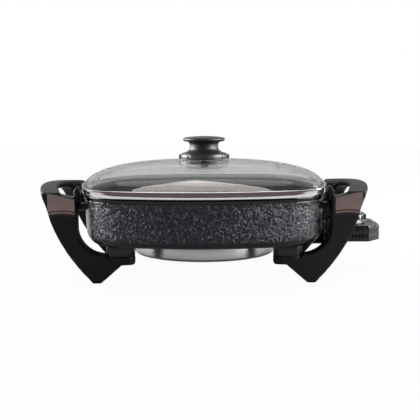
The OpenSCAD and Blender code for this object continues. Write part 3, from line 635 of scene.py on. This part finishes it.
def handle_phenolic():
    """Black moulded handles. The flat faces at the top of each leg are polished, and a brown-grey reflection
    is painted into their colour.
    """
    f = new_finish("handle_phenolic")
    place = f.place()
    x, _, z = f.parts(place)
    reach = (x - MIDDLE_X).size() - (x > MIDDLE_X) * (FLAT_OUT_RIGHT - FLAT_OUT)
    normal = f.node("ShaderNodeNewGeometry", output=NORMAL)
    facing = f.parts(normal)[1].size().rise(0.93, 0.985)
    across = (reach - FLAT_MIDDLE) / (FLAT_OUT - FLAT_MIDDLE)
    level = z - FLAT_LOW_Z + across * across * FLAT_BOW
    past_inner_edge = reach.rise(FLAT_IN - 0.4 * MM, FLAT_IN + 0.4 * MM)
    inside = past_inner_edge * (1 - reach.rise(FLAT_OUT - 0.3 * MM, FLAT_OUT))
    # Where the reflection is painted: faces that look along y, between the inner and outer edges of the flats
    # and above the bowed lower edge. The same mask makes them a little metallic and glossier.
    flat = facing * inside * level.rise(-9 * MM, -5 * MM)
    # Painted reflection: a near-black line 1.6 mm above the lower edge of the patch, and a dark band below
    # about 5 mm, where the mirrored edge of something in front shows.
    reflected_dark_line = 1 - (level + 1.6 * MM).size().rise(0.5 * MM, 1.1 * MM)
    above_reflected_band = level.rise(-5.2 * MM, -3.4 * MM)
    # Painted reflection in the base colour: a brown-grey patch, redder low down and greyer higher up, with
    # faint streaks.
    reflection_streaks = f.noise(f.stretched(place, (30, 1, 900)), 1.0, 3.0)
    shade = level.rise(-2 * MM, 16 * MM)
    painted_reflection = f.mixed(shade * 0.7 + reflection_streaks * 0.3, rgb(0.250, 0.172, 0.156), rgb(0.200, 0.160, 0.156))
    painted_reflection = f.mixed(above_reflected_band, rgb(0.030, 0.024, 0.023), painted_reflection)
    painted_reflection = f.mixed(reflected_dark_line * 0.85, painted_reflection, rgb(0.012, 0.010, 0.010))
    grain = f.noise(place, 1500, 3.0)
    flow = f.noise(place, 22, 3.0)
    black = f.mixed(flow * 0.6, rgb(0.006, 0.006, 0.0065), rgb(0.010, 0.010, 0.011))
    return f.skin(Base_Color=f.mixed(flat, black, painted_reflection), Metallic=flat * 0.25,
                  Roughness=0.44 + flow * 0.08 + grain * 0.04 - flat * 0.15, Specular_IOR_Level=0.16,
                  Normal=f.bump(grain, 0.04 * MM, 0.4))


# A thin, even sheet hardly bends what is seen through it.
GLASS_BEND = 1.01


def lid_glass():
    """Tempered glass with a faint grey-green tint, darker where it is seen edge on."""
    f = new_finish("tempered_glass")
    place = f.place()
    haze = f.noise(place, 18, 2.0)
    tint = f.mixed(haze, rgb(0.755, 0.775, 0.76), rgb(0.785, 0.80, 0.785))
    facing = f.node("ShaderNodeLayerWeight", values=[0.5], output=1)
    tint = f.mixed(facing.rise(0.80, 1.0), tint, rgb(0.30, 0.32, 0.31))
    return f.skin(Base_Color=tint, Roughness=0.0, IOR=GLASS_BEND, Transmission_Weight=1.0,
                  Coat_Weight=0.5, Coat_Roughness=0.07)


def polished_band():
    """Rolled and polished stainless steel."""
    f = new_finish("polished_band")
    place = f.place()
    lines = f.lines(f.parts(place)[2], 2200.0, 2.0)
    smears = f.noise(place, 30, 3.0)
    colour = f.mixed(smears, rgb(0.70, 0.68, 0.69), rgb(0.80, 0.79, 0.80))
    return f.skin(Base_Color=colour, Metallic=1.0, Roughness=0.07 + smears * 0.05 + lines * 0.03,
                  Normal=f.bump(lines, 0.02 * MM, 0.4))


def clear_plastic(name, colour, strength):
    f = new_finish(name)
    place = f.place()
    cloud = f.noise(place, 300, 2.0)
    tone = f.mixed(cloud, colour, tuple(0.8 * c for c in colour[:3]) + (1.0,))
    return f.skin(Base_Color=tone, Roughness=0.08 + cloud * 0.05, Transmission_Weight=strength, IOR=1.49)


# ---------------------------------------------------------------- the pan
def pan_profile():
    foot = WALL_INSET + WALL_DRAFT
    bead = WALL_INSET - BEAD_OUT
    edge = 1.2 * MM
    inner = WALL_INSET + WALL_T
    floor_z = BASE_Z + FLOOR_T
    outside = arc(foot + BOTTOM_ROUND, BASE_Z + BOTTOM_ROUND, BOTTOM_ROUND, 270, 180, 14)
    wall_low, wall_high = outside[-1], (WALL_INSET, RIM_Z - BEAD_H - 1.2 * MM)
    wall = [tuple(a + (b - a) * i / 6 for a, b in zip(wall_low, wall_high)) for i in range(1, 7)]
    rim = [(bead, RIM_Z - BEAD_H + 0.2 * MM)] + arc(bead + edge, RIM_Z - edge, edge, 180, 90, 5)
    rim += arc(inner - edge, RIM_Z - edge, edge, 90, 0, 5)
    inside = arc(foot + WALL_T + BOTTOM_ROUND, floor_z + BOTTOM_ROUND, BOTTOM_ROUND, 180, 270, 14)
    return outside + wall + rim + inside


def make_pan():
    pan = ring_piece("skillet_pan", [plan_ring(inset, z) for inset, z in pan_profile()])
    ears = []
    for side in (-1, 1):
        for end in (-1, 1):
            reach = sorted((MIDDLE_X + side * EAR_IN, MIDDLE_X + side * EAR_OUT))
            y = end * EAR_Y
            ears.append(soft_block("ear", (reach[0], y - EAR_HALF, EAR_Z),
                                   (reach[1], y + EAR_HALF, EAR_Z + EAR_H), EAR_EDGE))
    merged(pan, ears)
    pan.data.materials.append(hammered_enamel())
    pan.data.materials.append(nonstick_coat())
    for face in pan.data.polygons:
        spot = face.center - Vector((MIDDLE_X, 0, 0))
        inwards = face.normal.x * spot.x + face.normal.y * spot.y < -1e-4 * abs(face.normal.z)
        cooking = spot.z > BASE_Z + 3 * MM and (inwards or face.normal.z > 0.5) and abs(spot.x) <= EAR_IN - MM
        face.material_index = 1 if cooking and face.normal.z > -0.2 else 0
    smoothed(pan, 38)
    return dress(pan, None, "skillet", "pan_coating", "pan_body")


# ---------------------------------------------------------------- the lid
def dome_ring(s, inset, rise):
    """One ring of the dome. s is 1 at the edge and 0 at the crown, and the plan turns round on the way."""
    reach = LID_HALF - inset
    ring = []
    for x, y in outline(inset):
        r = math.hypot(x, y)
        share = s * s
        scale = s * (share + (1 - share) * reach / r)
        height = rise * math.sqrt(max(0.0, 1 - s ** DOME_POWER))
        ring.append((MIDDLE_X + x * scale, y * scale, DOME_Z + height))
    return ring


def make_glass():
    # Degrees from the edge up to the hole in the crown, which the knob's screw goes through
    steps, sweep = 26, 88.6
    slopes = [math.sin(math.radians(90 - sweep * i / steps)) for i in range(steps + 1)]
    inner = GLASS_INSET + GLASS_T
    edge = 0.8 * MM
    rings = [plan_ring(inset, z) for inset, z in arc(GLASS_INSET + edge, GLASS_Z + edge, edge, 270, 180, 4)]
    rings += [dome_ring(s, GLASS_INSET, DOME_RISE) for s in slopes]
    rings += [dome_ring(s, inner, DOME_RISE - GLASS_T) for s in reversed(slopes)]
    rings += [plan_ring(inset, z) for inset, z in arc(inner - edge, GLASS_Z + edge, edge, 0, -90, 4)]
    glass = ring_piece("lid_dome", rings, joined=True)
    take(glass)
    bpy.ops.object.shade_smooth()
    return dress(glass, lid_glass(), "lid", "lid_glass", "glass_lid")


def make_band():
    seat = WALL_INSET + WALL_T + LID_GAP
    lip = seat + LIP_T
    low = RIM_Z
    lip_low = low - LIP_DROP
    shelf = GLASS_Z - LID_GAP
    top = BAND_TOP_Z
    roll, hem = 1.3 * MM, 0.5 * MM
    bulge = [(0.9 * MM, low + 0.05 * MM), (0.25 * MM, low + 0.9 * MM), (0.0, low + 2.2 * MM),
             (0.0, (low + top) / 2), (0.0, top - 2.4 * MM)]
    crown = arc(roll, top - roll, roll, 180, 90, 6) + arc(BAND_T - hem, top - hem, hem, 90, 0, 3)
    profile = bulge + crown + [(BAND_T, shelf), (lip, shelf), (lip, lip_low), (seat, lip_low), (seat, low)]
    band = ring_piece("lid_steel_band", [plan_ring(inset, z) for inset, z in profile], joined=True)
    smoothed(band, 50)
    return dress(band, polished_band(), "lid", "band_steel", "lid_band")


def make_knob():
    """Turned profile of the knob: flared skirt, waist and a wide cap with a soft crown."""
    low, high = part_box("lid_knob")
    base, height = low.z, high.z - low.z
    skirt, cap, neck = (high.x - low.x) / 2, 27.5 * MM, 18.5 * MM
    cap_z = height - 7 * MM
    profile = [(skirt - 0.5 * MM, 0.0)]
    profile += arc(skirt - 0.7 * MM, 0.7 * MM, 0.7 * MM, -60, 80, 5)
    profile += drawn((skirt - 1.4 * MM, 1.7 * MM), (neck + 1.2 * MM, 3.4 * MM), (neck, 8 * MM), 9)
    profile += drawn((neck, cap_z - 4 * MM), (neck + 0.3 * MM, cap_z - 0.7 * MM), (cap - 5 * MM, cap_z), 8)
    profile += drawn((cap - 1.8 * MM, cap_z + 0.4 * MM), (cap + 0.9 * MM, cap_z + 2.4 * MM),
                     (cap - 1.6 * MM, cap_z + 4.7 * MM), 9)
    profile += drawn((cap - 2.6 * MM, cap_z + 5.2 * MM), (cap / 2, height), (0.6 * MM, height), 9)
    rings = [round_ring((MIDDLE_X, 0), r, base + z, sides=96) for r, z in profile]
    knob = ring_piece("lid_knob_turned", rings)
    smoothed(knob, 40)
    finish = moulded("knob_phenolic", rgb(0.016, 0.016, 0.018), 0.42, shine=0.3)
    return dress(knob, finish, "lid", "knob_black", "lid_knob")


# ---------------------------------------------------------------- handles and the rest
def make_handles():
    finish = handle_phenolic()
    for side in ("left", "right"):
        piece = remoulded(side + "_handle", side + "_handle_moulding", grain=1.0 * MM, rounds=6)
        dress(piece, finish, "skillet", "handle_black", side + "_handle")


def make_small_mouldings():
    case = moulded("case_plastic", rgb(0.006, 0.006, 0.007), 0.20, 0.03, 0.1, shine=0.3)
    spacer = moulded("spacer_phenolic", rgb(0.006, 0.006, 0.006), 0.22, 0.03, 0.1, shine=0.3)
    ring = moulded("ring_plastic", rgb(0.055, 0.057, 0.062), 0.34)
    guard = moulded("guard_paint", rgb(0.016, 0.016, 0.017), 0.35, 0.03)
    plate = turned_aluminium()
    # CAD node, new piece, edge radius in mm, steps round the edge, finish, body, material slot
    mouldings = [
        ("upper_case", "control_top", 0.8, 3, case, "heat_control", "case_black"),
        ("lower_case", "control_bottom", 0.8, 3, case, "heat_control", "case_black"),
        ("control_dial", "dial_moulding", 0.4, 2, case, "dial", "case_black"),
        ("cord_gland", "cord_inlet", 0.4, 2, case, "heat_control", "case_black"),
        ("leg_spacers", "leg_blocks", 0.8, 3, spacer, "skillet", "spacer_black"),
        ("steam_ring", "steam_ring_moulding", 0.3, 2, ring, "vent_ring", "ring_grey"),
        ("knob_collar", "steam_core", 0.2, 2, guard, "lid", "knob_black"),
        ("terminal_guard", "guard_sheet", 0.4, 2, guard, "skillet", "guard_black"),
        ("heating_plate", "heating_disc", 0.7, 3, plate, "skillet", "plate_metal"),
    ]
    for node, name, edge, steps, finish, body, slot in mouldings:
        dress(bevelled(node, name, edge * MM, steps), finish, body, slot, node)


def paint_small_parts():
    zinc = steel("zinc_steel", rgb(0.62, 0.62, 0.61), 0.24)
    bright = steel("bright_steel", rgb(0.74, 0.74, 0.75), 0.14)
    brass = steel("bright_brass", rgb(0.78, 0.60, 0.28), 0.2)
    paint(zinc, "guard_screws", "leg_screws", "leg_washers", "handle_screws", "clamp_washer", "knob_screw",
          "thermostat_frame", "frame_screws", "probe_clip", "case_screws")
    paint(bright, "terminal_pins", "sensor_probe", "contact_points", "dial_shaft", "steam_eyelet")
    paint(brass, "knob_insert", "contact_sleeves", "contact_spring", "link_wire", "dial_bushing")
    paint(steel("bimetal_strip", rgb(0.56, 0.40, 0.27), 0.28), "bimetal_blade")
    paint(steel("heated_sheath", rgb(0.25, 0.23, 0.22), 0.42, 120.0), "heating_element")
    paint(moulded("steatite", rgb(0.80, 0.78, 0.72), 0.5, light=1.08), "element_beads", "ceramic_stack")
    paint(moulded("pale_silicone", rgb(0.55, 0.55, 0.53), 0.45, 0.04, light=1.1), "knob_seal", "lower_seal")
    paint(moulded("white_print", rgb(0.82, 0.82, 0.82), 0.5, 0.02, light=1.05), "dial_pointer")
    paint(clear_plastic("amber_bulb", rgb(0.85, 0.42, 0.12), 0.7), "signal_lamp")
    paint(clear_plastic("red_lens", rgb(0.45, 0.02, 0.02), 0.6), "lamp_lens")


set_camera()
set_world()
set_lamps()
set_floor()
make_pan()
make_glass()
make_band()
share_out_the_lamps()
make_knob()
make_handles()
make_small_mouldings()
paint_small_parts()

bpy.context.scene.view_settings.view_transform = "Standard"
